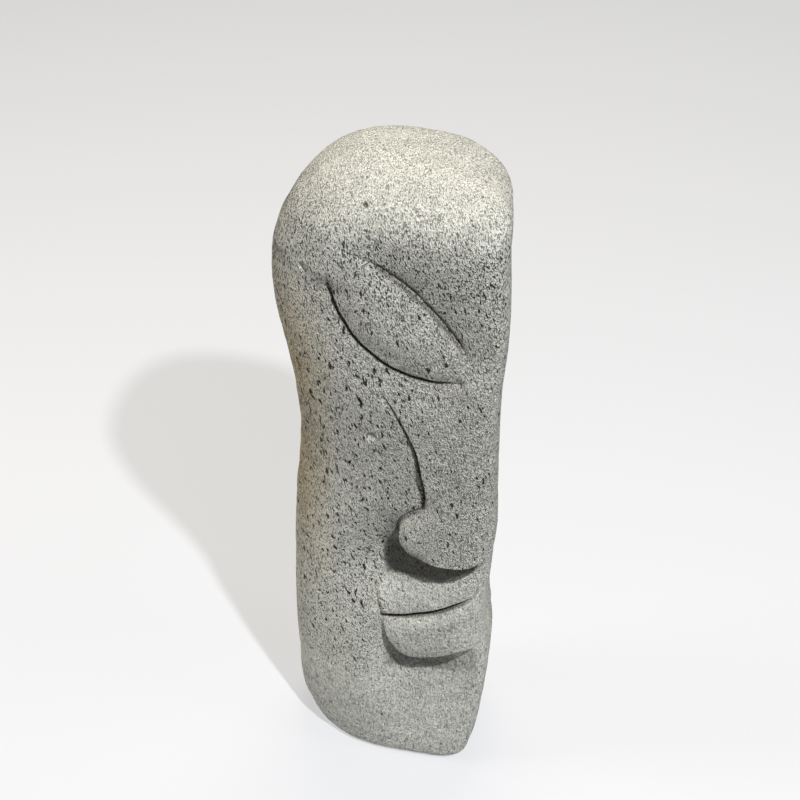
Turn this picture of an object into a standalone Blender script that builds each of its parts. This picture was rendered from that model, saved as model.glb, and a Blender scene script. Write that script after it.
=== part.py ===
"""Carved half face in porous grey volcanic stone, one block standing on its flat underside.

Metres, +Z up. The broad face looks along -Y, its nose side is at +X and its temple side at -X.
The origin is on the ground under the middle of the block.
"""

import bmesh
import bpy
import numpy as np

# Block: height, crown, and where each side stands at a few heights (height, position)
HEIGHT = 0.4425
CROWN = (-0.002, -0.004)
TEMPLE_SIDE = ((0.000, -0.0484), (0.015, -0.0570), (0.060, -0.0620), (0.130, -0.0621), (0.200, -0.0582),
               (0.260, -0.0534), (0.310, -0.0586), (0.350, -0.0673), (0.390, -0.0746))
NOSE_SIDE = ((0.000, 0.0612), (0.020, 0.0673), (0.060, 0.0735), (0.085, 0.0751), (0.120, 0.0722),
             (0.180, 0.0748), (0.250, 0.0737), (0.310, 0.0741), (0.350, 0.0766), (0.390, 0.0750))
FRONT_SIDE = ((0.0000, -0.0482), (0.1100, -0.0490), (0.2150, -0.0510), (0.3800, -0.0495),
              (0.4050, -0.0487), (0.4134, -0.0471), (0.4206, -0.0430), (0.4278, -0.0371),
              (0.4345, -0.0282), (0.4394, -0.0178), (0.4425, -0.0040))
BACK_SIDE = ((0.000, 0.0440), (0.130, 0.0500), (0.260, 0.0475), (0.390, 0.0510))
NOSE_SIDE_LEAN = 0.15
PLAN_CENTRE = 0.58

# Roundness of the plan's quarters, as superellipse powers
ROUND_FRONT_TEMPLE = 2.35
ROUND_FRONT_NOSE = 5.5
ROUND_BACK_TEMPLE = 2.3
ROUND_BACK_NOSE = 3.0

# Domed top: the height where a side starts to turn in, and how square its shoulder is
TEMPLE_SHOULDER = (0.316, 2.25)
NOSE_SHOULDER = (0.4095, 2.55)
BACK_SHOULDER = (0.360, 4.0)

# Twist of the top: the brow climbs towards the nose side, the back of the crown falls
TOP_TWIST = -1.8
TOP_TWIST_START = 0.360

# Rounded lower edge, and the height below which points lie on the flat underside
FOOT_RADIUS = 0.006
FLAT_BELOW = 0.0005

# Eye: an almond between two arcs, each a centre (x, z) and a radius, on the front elevation
EYE_LOWER_CENTRE = (0.0388, 0.3887)
EYE_LOWER_RADIUS = 0.0636
EYE_UPPER_CENTRE = (-0.0789, 0.2668)
EYE_UPPER_RADIUS = 0.1502

# The eye rolls down to both arcs; below the lower one lie a narrow groove and a broad shallow socket
EYE_UPPER_DROP = 0.0052
EYE_UPPER_ROLL = 0.026
EYE_UPPER_END = (0.320, 0.344)
EYE_LOWER_DROP = 0.0044
EYE_LOWER_ROLL = 0.024
EYE_LOWER_END = (0.391, 0.372)
EYE_TIP_FADE = (0.002, 0.011)
EYE_GROOVE_DEPTH = 0.0034
EYE_GROOVE_WIDTH = 0.0036
SOCKET_DEPTH = 0.0046
SOCKET_WIDTH = 0.030
SOCKET_TIP_FADE = 0.030

# Hollow scooped under the brow, above and beside the eye, steepest in a narrow groove along the eye,
# and where it dies away
HOLLOW_DEPTH = 0.0090
HOLLOW_REACH = 0.054
LID_GROOVE_DEPTH = 0.0012
LID_GROOVE_WIDTH = 0.0045
HOLLOW_TEMPLE_END = (-0.026, 0.008)
HOLLOW_NOSE_END = (0.062, 0.098)
HOLLOW_LOW_END = (0.318, 0.350)

# Edge of the nose on the front elevation (x, z): bridge, wing, underside, round the corner
NOSE_EDGE = ((0.0050, 0.3145), (0.0125, 0.3035), (0.0190, 0.2910), (0.0250, 0.2760), (0.0290, 0.2570),
             (0.0312, 0.2400), (0.0295, 0.2290), (0.0215, 0.2228), (0.0160, 0.2150), (0.0146, 0.2060),
             (0.0165, 0.1985), (0.0210, 0.1925), (0.0280, 0.1888), (0.0380, 0.1873), (0.0530, 0.1874),
             (0.0635, 0.1902), (0.0740, 0.1950), (0.0950, 0.2060))
NOSE_LINE_DEPTH = 0.0018
NOSE_LINE_WIDTH = 0.0026
NOSE_LINE_TOP = (0.322, 0.306)
NOSE_RISE = 0.0030
NOSE_RISE_ENDS = (0.203, 0.318)

# Outline of both lips and the line between them
LIPS_EDGE = ((0.0110, 0.1780), (0.0030, 0.1640), (0.0007, 0.1530), (0.0001, 0.1434), (0.0022, 0.1330),
             (0.0034, 0.1190), (0.0053, 0.1095), (0.0105, 0.0995), (0.0170, 0.0935), (0.0253, 0.0926),
             (0.0350, 0.0945), (0.0454, 0.0986), (0.0565, 0.1022), (0.0700, 0.1060), (0.1000, 0.1120))
MOUTH_LINE = ((0.0026, 0.1285), (0.0148, 0.1307), (0.0277, 0.1348), (0.0404, 0.1409), (0.0499, 0.1462),
              (0.0580, 0.1500), (0.0673, 0.1550), (0.0780, 0.1595), (0.1000, 0.1670))
MOUTH_DEPTH = 0.0036
MOUTH_WIDTH = 0.0038
MOUTH_CORNER = (0.000, 0.010)
LOWER_LIP_DEPTH = 0.0030
LIP_EDGE_DROP = 0.0035
LIP_ROLL = 0.014
LIP_TOP_DROP = 0.0055
UPPER_LIP_DEPTH = 0.0055
UPPER_LIP_ROLL = 0.004
UPPER_LIP_ROLL_DROP = 0.0010
UPPER_LIP_SLOPE = (0.000, 0.032)

# How far the face is cut back around the nose and lips, at a few heights (height, depth)
CUT_BACK = ((0.000, 0.0000), (0.012, 0.0006), (0.030, 0.0050), (0.055, 0.0113), (0.074, 0.0160),
            (0.088, 0.0165), (0.105, 0.0125), (0.120, 0.0090), (0.135, 0.0088), (0.150, 0.0108),
            (0.164, 0.0137), (0.176, 0.0143), (0.189, 0.0125), (0.200, 0.0097), (0.211, 0.0073),
            (0.222, 0.0052), (0.235, 0.0042), (0.250, 0.0034), (0.276, 0.0024), (0.300, 0.0012),
            (0.318, 0.0000))
CUT_BACK_REACH = 0.040

# Where the cut back face meets the nose and lips: (height, x), and it fades away towards the temple
FACE_LINE = ((0.000, 0.0250), (0.060, 0.0220), (0.090, 0.0200), (0.115, 0.0130), (0.150, 0.0030),
             (0.180, 0.0060), (0.205, 0.0140), (0.240, 0.0290), (0.318, 0.0290))

# Towards the corner of the nose side the lips and chin melt into one plain cut (height, depth)
CORNER_START = (0.040, 0.078)
CORNER_CUT = ((0.000, 0.0000), (0.050, 0.0070), (0.085, 0.0100), (0.130, 0.0090), (0.160, 0.0100),
              (0.185, 0.0115), (0.235, 0.0028), (0.318, 0.0000))

# Carving runs out this far behind the front; past the corner a share of it goes into the nose side
CARVING_REACH = 0.034
CORNER_TURN = (0.060, 0.078)
SIDE_SHARE = 0.28
SIDE_FADE = (0.085, 0.125)

# The nose wing falls away towards its left edge, below a band of heights
WING_FALL = 0.0035
WING_FALL_WIDTH = 0.013
WING_END = (0.024, 0.044)
WING_LOW = (0.232, 0.262)

# Over the wing's top (x, z) its edge is softer, the cheek swells a little and then dips into the edge
WING_TOP = (0.0210, 0.2240)
WING_TOP_REACH = 0.013
WING_EDGE_WIDTH = 0.0016
WING_CREASE = 0.0022
WING_CREASE_WIDTH = 0.0065
CHEEK_LIFT = 0.0026
CHEEK_LIFT_REACH = 0.023

# Half width of a carved edge
EDGE_WIDTH = 0.0008

# Carving covers what faces the front: limits of the outward direction's y and x parts
FRONT_FACING = (0.30, -0.10)
TEMPLE_FACING = (-0.85, -0.55)

# Mesh
COLUMNS_FRONT = 210
COLUMNS_BACK = 70
FOOT_ROWS = 5
WALL_ROWS = ((0.080, 50), (0.245, 230), (0.320, 50), (0.405, 110))
DOME_ROWS = 60
CAP_SIZE = 0.03
PATH_STEPS = 8
TRIANGLES = 9400

# Finish
STONE_COLOUR = (0.36, 0.36, 0.33, 1.0)
STONE_ROUGHNESS = 0.95


def clear_scene():
    for obj in list(bpy.data.objects):
        bpy.data.objects.remove(obj, do_unlink=True)


def smooth_step(start, end, value):
    """0 up to start, 1 from end on, and a smooth rise between."""
    t = np.clip((value - start) / (end - start), 0.0, 1.0)
    return t * t * (3.0 - 2.0 * t)


def curve_through(stations, at):
    """Smooth value at each place, through (place, value) pairs."""
    place, value = np.array(stations).T
    step = np.diff(place)
    slope = np.diff(value) / step
    inner = (slope[:-1] * step[1:] + slope[1:] * step[:-1]) / (step[:-1] + step[1:])
    tangent = np.concatenate(([slope[0]], inner, [slope[-1]]))
    at = np.clip(at, place[0], place[-1])
    i = np.clip(np.searchsorted(place, at, side="right") - 1, 0, len(step) - 1)
    t = (at - place[i]) / step[i]
    rise = t * t * (3.0 - 2.0 * t)
    start_part = t * (1.0 - t) ** 2 * step[i] * tangent[i]
    end_part = t * t * (1.0 - t) * step[i] * tangent[i + 1]
    return value[i] * (1.0 - rise) + value[i + 1] * rise + start_part - end_part


def shoulder(height, start, power):
    """How much of a side's reach is left at a height: 1 below its shoulder, 0 at the crown."""
    t = np.clip((height - start) / (HEIGHT - start), 0.0, 1.0)
    return np.maximum(1.0 - t ** power, 0.0) ** (1.0 / power)


def foot_inset(height):
    """How far the rounded lower edge stands in at a height."""
    t = np.clip(1.0 - height / FOOT_RADIUS, 0.0, 1.0)
    return FOOT_RADIUS * (1.0 - np.sqrt(1.0 - t * t))


def block_sides(height):
    """The temple, nose, front and back sides of the plain block at each height."""
    inset = foot_inset(height)
    temple = curve_through(TEMPLE_SIDE, height) + inset - CROWN[0]
    nose = curve_through(NOSE_SIDE, height) - inset - CROWN[0]
    front = curve_through(FRONT_SIDE, height) + inset
    back = curve_through(BACK_SIDE, height) - inset - CROWN[1]
    temple = CROWN[0] + temple * shoulder(height, *TEMPLE_SHOULDER)
    nose = CROWN[0] + nose * shoulder(height, *NOSE_SHOULDER)
    back = CROWN[1] + back * shoulder(height, *BACK_SHOULDER)
    return temple, nose, front, back


def block_surface(height, angle):
    """Points of the plain block, the outward direction at each, and how far each is behind the front."""
    temple, nose, front, back = block_sides(height)
    centre_x = temple + (nose - temple) * PLAN_CENTRE
    centre_y = (front + back) / 2.0
    cos, sin = np.cos(angle), np.sin(angle)
    reach_x = np.where(cos >= 0.0, nose - centre_x, centre_x - temple)
    reach_y = np.where(sin >= 0.0, back - centre_y, centre_y - front)
    front_power = np.where(cos >= 0.0, ROUND_FRONT_NOSE, ROUND_FRONT_TEMPLE)
    back_power = np.where(cos >= 0.0, ROUND_BACK_NOSE, ROUND_BACK_TEMPLE)
    power = np.where(sin < 0.0, front_power, back_power)
    along_x = np.abs(cos / reach_x)
    along_y = np.abs(sin / reach_y)
    radius = (along_x ** power + along_y ** power) ** (-1.0 / power)
    out_x = np.sign(cos) * along_x ** (power - 1.0) / reach_x
    out_y = np.sign(sin) * along_y ** (power - 1.0) / reach_y
    length = np.hypot(out_x, out_y)
    behind = centre_y + radius * sin - front
    lean = NOSE_SIDE_LEAN * behind * np.clip(radius * cos / reach_x, 0.0, 1.0)
    x = centre_x + radius * cos - np.where(cos >= 0.0, lean, 0.0)
    return x, front + behind, out_x / length, out_y / length, behind


def dense_path(points):
    """A smooth line through a path's points, as many short straight pieces."""
    points = np.array(points)
    place = np.arange(len(points), dtype=float)
    at = np.linspace(0.0, len(points) - 1.0, (len(points) - 1) * PATH_STEPS + 1)
    x = curve_through(np.stack([place, points[:, 0]], axis=1), at)
    z = curve_through(np.stack([place, points[:, 1]], axis=1), at)
    return np.stack([x, z], axis=1)


def side_distance(x, z, points):
    """Distance from a path, positive on its left when walking along it."""
    path = dense_path(points)
    best = np.full(x.shape, np.inf)
    side = np.ones(x.shape)
    for start, run in zip(path[:-1], np.diff(path, axis=0)):
        off_x = x - start[0]
        off_z = z - start[1]
        t = np.clip((off_x * run[0] + off_z * run[1]) / (run @ run), 0.0, 1.0)
        distance = np.hypot(off_x - t * run[0], off_z - t * run[1])
        nearer = distance < best
        best[nearer] = distance[nearer]
        side[nearer] = np.where(run[0] * off_z - run[1] * off_x < 0.0, -1.0, 1.0)[nearer]
    return best * side


def roll_off(inside, width):
    """Quarter-round fall towards an edge: 1 on the edge, 0 from a width inside it."""
    t = np.clip(inside / width, 0.0, 1.0)
    return 1.0 - np.sqrt(1.0 - (1.0 - t) ** 2)


def ease_off(inside, width):
    """Gentle curved fall towards an edge: 1 on the edge, 0 from a width inside it."""
    return (1.0 - np.clip(inside / width, 0.0, 1.0)) ** 2


def eye_relief(x, z):
    """Carving of the eye, the groove under it and the hollow under the brow, outward positive."""
    in_lower = EYE_LOWER_RADIUS - np.hypot(x - EYE_LOWER_CENTRE[0], z - EYE_LOWER_CENTRE[1])
    in_upper = EYE_UPPER_RADIUS - np.hypot(x - EYE_UPPER_CENTRE[0], z - EYE_UPPER_CENTRE[1])
    upper_fade = smooth_step(*HOLLOW_TEMPLE_END, x)
    lower_fade = smooth_step(*EYE_LOWER_END, z)
    tip_fade = smooth_step(*EYE_TIP_FADE, in_upper)

    hollow = HOLLOW_DEPTH * ease_off(-in_upper, HOLLOW_REACH)
    hollow = hollow + LID_GROOVE_DEPTH * ease_off(-in_upper, LID_GROOVE_WIDTH)
    hollow = hollow * upper_fade * (1.0 - smooth_step(*HOLLOW_NOSE_END, x)) * smooth_step(*HOLLOW_LOW_END, z)
    lid = EYE_UPPER_DROP * upper_fade * smooth_step(*EYE_UPPER_END, z) * ease_off(in_upper, EYE_UPPER_ROLL)
    lid = lid + EYE_LOWER_DROP * lower_fade * tip_fade * ease_off(in_lower, EYE_LOWER_ROLL)
    groove = EYE_GROOVE_DEPTH * tip_fade * (1.0 - smooth_step(0.0, EYE_GROOVE_WIDTH, -in_lower))
    socket = SOCKET_DEPTH * (1.0 - smooth_step(0.0, SOCKET_WIDTH, -in_lower))
    socket = socket * smooth_step(0.0, SOCKET_TIP_FADE, in_upper)

    over_groove = smooth_step(-EDGE_WIDTH, EDGE_WIDTH, in_lower)
    eye = lid * over_groove + lower_fade * (groove + socket) * (1.0 - over_groove)
    on_eye = smooth_step(-EDGE_WIDTH, EDGE_WIDTH, in_upper)
    return -hollow * (1.0 - on_eye) - eye * on_eye


def lips_depth(x, z, in_lips, cut):
    """How deep the lips lie behind the plain front, with the line between them."""
    over_mouth = side_distance(x, z, MOUTH_LINE)
    slope = smooth_step(*UPPER_LIP_SLOPE, over_mouth)
    edge = np.minimum(in_lips, over_mouth)
    upper_lip = UPPER_LIP_DEPTH + (cut - UPPER_LIP_DEPTH) * slope
    upper_lip = upper_lip + UPPER_LIP_ROLL_DROP * (1.0 - slope) * roll_off(edge, UPPER_LIP_ROLL)
    lower_lip = LOWER_LIP_DEPTH + LIP_EDGE_DROP * roll_off(in_lips, LIP_ROLL)
    lower_lip = lower_lip + LIP_TOP_DROP * ease_off(-over_mouth, LIP_ROLL)
    over = smooth_step(-EDGE_WIDTH, EDGE_WIDTH, over_mouth)
    line = np.clip(1.0 - np.abs(2.0 * over_mouth / MOUTH_WIDTH + 1.0), 0.0, 1.0)
    line = MOUTH_DEPTH * smooth_step(*MOUTH_CORNER, x) * line
    return upper_lip * over + lower_lip * (1.0 - over) + line


def nose_and_mouth_relief(x, z):
    """Carving of the nose, the lips and the face cut back around them, outward positive."""
    off_nose = -side_distance(x, z, NOSE_EDGE)
    in_lips = side_distance(x, z, LIPS_EDGE)
    off_wing = np.hypot(x - WING_TOP[0], z - WING_TOP[1])
    softness = 1.0 - smooth_step(0.0, WING_TOP_REACH, off_wing)

    cut = curve_through(CUT_BACK, z)
    cheek = cut * (1.0 - smooth_step(0.0, CUT_BACK_REACH, curve_through(FACE_LINE, z) - x))
    cheek = cheek + NOSE_LINE_DEPTH * ease_off(off_nose, NOSE_LINE_WIDTH) * smooth_step(*NOSE_LINE_TOP, z)
    cheek = cheek - CHEEK_LIFT * (1.0 - smooth_step(0.0, CHEEK_LIFT_REACH, off_wing))
    cheek = cheek + WING_CREASE * softness * ease_off(off_nose, WING_CREASE_WIDTH)

    on_lips = smooth_step(-EDGE_WIDTH, EDGE_WIDTH, in_lips)
    face = cheek * (1.0 - on_lips) + lips_depth(x, z, in_lips, cut) * on_lips
    at_corner = smooth_step(*CORNER_START, x)
    face = face * (1.0 - at_corner) + curve_through(CORNER_CUT, z) * at_corner

    wing = (1.0 - smooth_step(*WING_END, x)) * (1.0 - smooth_step(*WING_LOW, z))
    nose = NOSE_RISE * (1.0 - smooth_step(*NOSE_RISE_ENDS, z))
    nose = nose - WING_FALL * ease_off(-off_nose, WING_FALL_WIDTH) * wing
    width = EDGE_WIDTH + (WING_EDGE_WIDTH - EDGE_WIDTH) * softness
    on_nose = 1.0 - smooth_step(-width, width, off_nose)
    return nose * on_nose - face * (1.0 - on_nose)


def relief(x, z):
    """All carving on the front, as a rise out of the plain block."""
    return eye_relief(x, z) + nose_and_mouth_relief(x, z)


def middle(values):
    return (values.min() + values.max()) / 2.0


def ring_angles():
    """Angles of the columns, closer together over the carved front."""
    front = np.linspace(np.pi, 2.0 * np.pi, COLUMNS_FRONT, endpoint=False)
    back = np.linspace(0.0, np.pi, COLUMNS_BACK, endpoint=False)
    return np.concatenate([front, back])


def ring_heights():
    """Heights of the rows, closer together at the foot, the mouth, the eye and the crown."""
    foot = FOOT_RADIUS * (1.0 - np.cos(np.linspace(0.0, np.pi / 2.0, FOOT_ROWS, endpoint=False)))
    heights = [foot]
    start = FOOT_RADIUS
    for top, rows in WALL_ROWS:
        heights.append(np.linspace(start, top, rows, endpoint=False))
        start = top
    heights.append(HEIGHT - (HEIGHT - start) * np.linspace(1.0, CAP_SIZE, DOME_ROWS) ** 2)
    return np.concatenate(heights)


def stone_points():
    """Rows of points on the carved stone, from the foot to the crown."""
    height, angle = np.meshgrid(ring_heights(), ring_angles(), indexing="ij")
    x, y, out_x, out_y, behind = block_surface(height, angle)
    around = x + np.where(out_x > 0.0, behind, 0.0)
    on_front = smooth_step(*FRONT_FACING, out_y) * smooth_step(*TEMPLE_FACING, out_x)
    carved = relief(around, height) * on_front
    twist = TOP_TWIST * x * y * smooth_step(TOP_TWIST_START, HEIGHT, height)
    sideways = SIDE_SHARE * smooth_step(*CORNER_TURN, around) * (1.0 - smooth_step(*SIDE_FADE, around))
    x = x + carved * sideways
    y = y - carved * np.clip(1.0 - behind / CARVING_REACH, 0.0, 1.0)
    return np.stack([x - middle(x), y - middle(y), height + twist], axis=2)


def loft(rows):
    """Closed mesh through rows of points, with a flat foot and a small cap at the crown."""
    bm = bmesh.new()
    loops = [[bm.verts.new(point) for point in row] for row in rows]
    count = len(loops[0])
    for lower, upper in zip(loops, loops[1:]):
        for i in range(count):
            j = (i + 1) % count
            bm.faces.new((lower[i], lower[j], upper[j], upper[i]))
    bm.faces.new(loops[0][::-1])
    bm.faces.new(loops[-1])
    bm.normal_update()
    return bm


def stone_material():
    material = bpy.data.materials.new("volcanic_stone")
    material.use_nodes = True
    shader = material.node_tree.nodes["Principled BSDF"]
    shader.inputs["Base Color"].default_value = STONE_COLOUR
    shader.inputs["Roughness"].default_value = STONE_ROUGHNESS
    shader.inputs["Metallic"].default_value = 0.0
    return material


def thinned(stone):
    """The stone's mesh with fewer triangles, and its underside flat again."""
    thin = stone.modifiers.new("fewer triangles", "DECIMATE")
    full = sum(len(face.vertices) - 2 for face in stone.data.polygons)
    thin.ratio = TRIANGLES / full
    graph = bpy.context.evaluated_depsgraph_get()
    mesh = bpy.data.meshes.new_from_object(stone.evaluated_get(graph))
    stone.modifiers.clear()
    for vertex in mesh.vertices:
        if vertex.co.z < FLAT_BELOW:
            vertex.co.z = 0.0
    return mesh


def make_stone_face():
    """The whole sculpture: one carved block."""
    mesh = bpy.data.meshes.new("stone_face")
    bm = loft(stone_points())
    bm.to_mesh(mesh)
    bm.free()
    stone = bpy.data.objects.new("stone_face", mesh)
    bpy.context.collection.objects.link(stone)
    stone.data = thinned(stone)
    stone.data.shade_smooth()
    stone.data.materials.append(stone_material())
    return stone


def main():
    clear_scene()
    make_stone_face()


main()
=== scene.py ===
"""Look of the carved half face in porous grey volcanic stone, on a pale floor.

Metres, +Z up. The broad face looks along -Y, its nose side is at +X and its temple side at -X.
"""

import math

import bpy
import numpy as np
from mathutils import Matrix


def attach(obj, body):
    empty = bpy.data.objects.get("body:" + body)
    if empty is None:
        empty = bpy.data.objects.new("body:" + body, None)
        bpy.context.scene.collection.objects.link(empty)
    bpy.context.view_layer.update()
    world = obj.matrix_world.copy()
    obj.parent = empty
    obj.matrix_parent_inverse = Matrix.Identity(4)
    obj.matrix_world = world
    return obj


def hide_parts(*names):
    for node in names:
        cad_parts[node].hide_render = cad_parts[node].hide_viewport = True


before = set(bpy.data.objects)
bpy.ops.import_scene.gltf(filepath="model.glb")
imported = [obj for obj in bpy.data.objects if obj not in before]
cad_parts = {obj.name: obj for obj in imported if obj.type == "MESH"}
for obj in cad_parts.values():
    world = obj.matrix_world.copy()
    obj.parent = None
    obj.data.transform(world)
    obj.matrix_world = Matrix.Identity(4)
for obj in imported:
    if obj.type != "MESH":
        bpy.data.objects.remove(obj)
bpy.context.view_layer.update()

# Block: height, crown, and where each side stands at a few heights (height, position)
HEIGHT = 0.4425
CROWN = (-0.002, -0.004)
TEMPLE_SIDE = ((0.000, -0.0484), (0.015, -0.0570), (0.060, -0.0620), (0.130, -0.0621), (0.200, -0.0582),
               (0.260, -0.0534), (0.310, -0.0586), (0.350, -0.0673), (0.390, -0.0746))
NOSE_SIDE = ((0.000, 0.0612), (0.020, 0.0673), (0.060, 0.0735), (0.085, 0.0751), (0.120, 0.0722),
             (0.180, 0.0748), (0.250, 0.0737), (0.310, 0.0741), (0.350, 0.0766), (0.390, 0.0750))
FRONT_SIDE = ((0.0000, -0.0482), (0.1100, -0.0490), (0.2150, -0.0510), (0.3800, -0.0495),
              (0.4050, -0.0487), (0.4134, -0.0471), (0.4206, -0.0430), (0.4278, -0.0371),
              (0.4345, -0.0282), (0.4394, -0.0178), (0.4425, -0.0040))
BACK_SIDE = ((0.000, 0.0440), (0.130, 0.0500), (0.260, 0.0475), (0.390, 0.0510))
NOSE_SIDE_LEAN = 0.15
PLAN_CENTRE = 0.58

# Roundness of the plan's quarters, as superellipse powers
ROUND_FRONT_TEMPLE = 2.35
ROUND_FRONT_NOSE = 5.5
ROUND_BACK_TEMPLE = 2.3
ROUND_BACK_NOSE = 3.0

# Domed top: the height where a side starts to turn in, and how square its shoulder is
TEMPLE_SHOULDER = (0.316, 2.25)
NOSE_SHOULDER = (0.4095, 2.55)
BACK_SHOULDER = (0.360, 4.0)

# Twist of the top: the brow climbs towards the nose side, the back of the crown falls
TOP_TWIST = -1.8
TOP_TWIST_START = 0.360

# Rounded lower edge, and the height below which points lie on the flat underside
FOOT_RADIUS = 0.006
FLAT_BELOW = 0.0005

# Eye: an almond between two arcs, each a centre (x, z) and a radius, on the front elevation
EYE_LOWER_CENTRE = (0.0388, 0.3887)
EYE_LOWER_RADIUS = 0.0636
EYE_UPPER_CENTRE = (-0.0789, 0.2668)
EYE_UPPER_RADIUS = 0.1502

# The eye rolls down to both arcs; below the lower one lie a narrow groove and a broad shallow socket
EYE_UPPER_DROP = 0.0052
EYE_UPPER_ROLL = 0.026
EYE_UPPER_END = (0.320, 0.344)
EYE_LOWER_DROP = 0.0044
EYE_LOWER_ROLL = 0.024
EYE_LOWER_END = (0.391, 0.372)
EYE_TIP_FADE = (0.002, 0.011)
EYE_GROOVE_DEPTH = 0.0034
EYE_GROOVE_WIDTH = 0.0036
SOCKET_DEPTH = 0.0046
SOCKET_WIDTH = 0.030
SOCKET_TIP_FADE = 0.030

# Hollow scooped under the brow, above and beside the eye, steepest in a narrow groove along the eye,
# and where it dies away
HOLLOW_DEPTH = 0.0090
HOLLOW_REACH = 0.054
LID_GROOVE_DEPTH = 0.0012
LID_GROOVE_WIDTH = 0.0045
HOLLOW_TEMPLE_END = (-0.026, 0.008)
HOLLOW_NOSE_END = (0.062, 0.098)
HOLLOW_LOW_END = (0.318, 0.350)

# Edge of the nose on the front elevation (x, z): bridge, wing, underside, round the corner
NOSE_EDGE = ((0.0050, 0.3145), (0.0125, 0.3035), (0.0190, 0.2910), (0.0250, 0.2760), (0.0290, 0.2570),
             (0.0312, 0.2400), (0.0295, 0.2290), (0.0215, 0.2228), (0.0160, 0.2150), (0.0146, 0.2060),
             (0.0165, 0.1985), (0.0210, 0.1925), (0.0280, 0.1888), (0.0380, 0.1873), (0.0530, 0.1874),
             (0.0635, 0.1902), (0.0740, 0.1950), (0.0950, 0.2060))
NOSE_LINE_DEPTH = 0.0018
NOSE_LINE_WIDTH = 0.0026
NOSE_LINE_TOP = (0.322, 0.306)
NOSE_RISE = 0.0030
NOSE_RISE_ENDS = (0.203, 0.318)

# Outline of both lips and the line between them
LIPS_EDGE = ((0.0110, 0.1780), (0.0030, 0.1640), (0.0007, 0.1530), (0.0001, 0.1434), (0.0022, 0.1330),
             (0.0034, 0.1190), (0.0053, 0.1095), (0.0105, 0.0995), (0.0170, 0.0935), (0.0253, 0.0926),
             (0.0350, 0.0945), (0.0454, 0.0986), (0.0565, 0.1022), (0.0700, 0.1060), (0.1000, 0.1120))
MOUTH_LINE = ((0.0026, 0.1285), (0.0148, 0.1307), (0.0277, 0.1348), (0.0404, 0.1409), (0.0499, 0.1462),
              (0.0580, 0.1500), (0.0673, 0.1550), (0.0780, 0.1595), (0.1000, 0.1670))
MOUTH_DEPTH = 0.0036
MOUTH_WIDTH = 0.0038
MOUTH_CORNER = (0.000, 0.010)
LOWER_LIP_DEPTH = 0.0030
LIP_EDGE_DROP = 0.0035
LIP_ROLL = 0.014
LIP_TOP_DROP = 0.0055
UPPER_LIP_DEPTH = 0.0055
UPPER_LIP_ROLL = 0.004
UPPER_LIP_ROLL_DROP = 0.0010
UPPER_LIP_SLOPE = (0.000, 0.032)

# How far the face is cut back around the nose and lips, at a few heights (height, depth)
CUT_BACK = ((0.000, 0.0000), (0.012, 0.0006), (0.030, 0.0050), (0.055, 0.0113), (0.074, 0.0160),
            (0.088, 0.0165), (0.105, 0.0125), (0.120, 0.0090), (0.135, 0.0088), (0.150, 0.0108),
            (0.164, 0.0137), (0.176, 0.0143), (0.189, 0.0125), (0.200, 0.0097), (0.211, 0.0073),
            (0.222, 0.0052), (0.235, 0.0042), (0.250, 0.0034), (0.276, 0.0024), (0.300, 0.0012),
            (0.318, 0.0000))
CUT_BACK_REACH = 0.040

# Where the cut back face meets the nose and lips: (height, x), and it fades away towards the temple
FACE_LINE = ((0.000, 0.0250), (0.060, 0.0220), (0.090, 0.0200), (0.115, 0.0130), (0.150, 0.0030),
             (0.180, 0.0060), (0.205, 0.0140), (0.240, 0.0290), (0.318, 0.0290))

# Towards the corner of the nose side the lips and chin melt into one plain cut (height, depth)
CORNER_START = (0.040, 0.078)
CORNER_CUT = ((0.000, 0.0000), (0.050, 0.0070), (0.085, 0.0100), (0.130, 0.0090), (0.160, 0.0100),
              (0.185, 0.0115), (0.235, 0.0028), (0.318, 0.0000))

# Carving runs out this far behind the front; past the corner a share of it goes into the nose side
CARVING_REACH = 0.034
CORNER_TURN = (0.060, 0.078)
SIDE_SHARE = 0.28
SIDE_FADE = (0.085, 0.125)

# The nose wing falls away towards its left edge, below a band of heights
WING_FALL = 0.0035
WING_FALL_WIDTH = 0.013
WING_END = (0.024, 0.044)
WING_LOW = (0.232, 0.262)

# Over the wing's top (x, z) its edge is softer, the cheek swells a little and then dips into the edge
WING_TOP = (0.0210, 0.2240)
WING_TOP_REACH = 0.013
WING_EDGE_WIDTH = 0.0016
WING_CREASE = 0.0022
WING_CREASE_WIDTH = 0.0065
CHEEK_LIFT = 0.0026
CHEEK_LIFT_REACH = 0.023

# Half width of a carved edge
EDGE_WIDTH = 0.0008

# Carving covers what faces the front: limits of the outward direction's y and x parts
FRONT_FACING = (0.30, -0.10)
TEMPLE_FACING = (-0.85, -0.55)

# Mesh
COLUMNS_FRONT = 430
COLUMNS_BACK = 110
FOOT_ROWS = 8
WALL_ROWS = ((0.080, 110), (0.245, 360), (0.320, 110), (0.405, 190))
DOME_ROWS = 130
CAP_SIZE = 0.02
PATH_STEPS = 8
TRIANGLES = 192000

# Pores: random ones over the whole block, with a spread of lean, a margin at the foot and the crown that is
# left free, and how blunt a pore's bottom is (a low power is blunt)
PORE_SEED = 7
PORE_COUNT = 420
PORE_LENGTH = (0.0014, 0.0034)
PORE_WIDTH = (0.0007, 0.0013)
PORE_DEPTH = (0.0006, 0.0013)
PORE_LEAN = 0.5
PORE_MARGIN = 0.004
PORE_ROUNDNESS = 0.6

# More and longer pores on the cheek, between these places (x and z) on the front
CHEEK_PORES = 60
CHEEK_PORE_X = (-0.050, 0.020)
CHEEK_PORE_Z = (0.120, 0.335)
CHEEK_PORE_LENGTH = (0.003, 0.005)
CHEEK_PORE_WIDTH = (0.0012, 0.0020)
CHEEK_PORE_DEPTH = 0.0012
CHEEK_PORE_LEAN = 0.4

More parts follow.
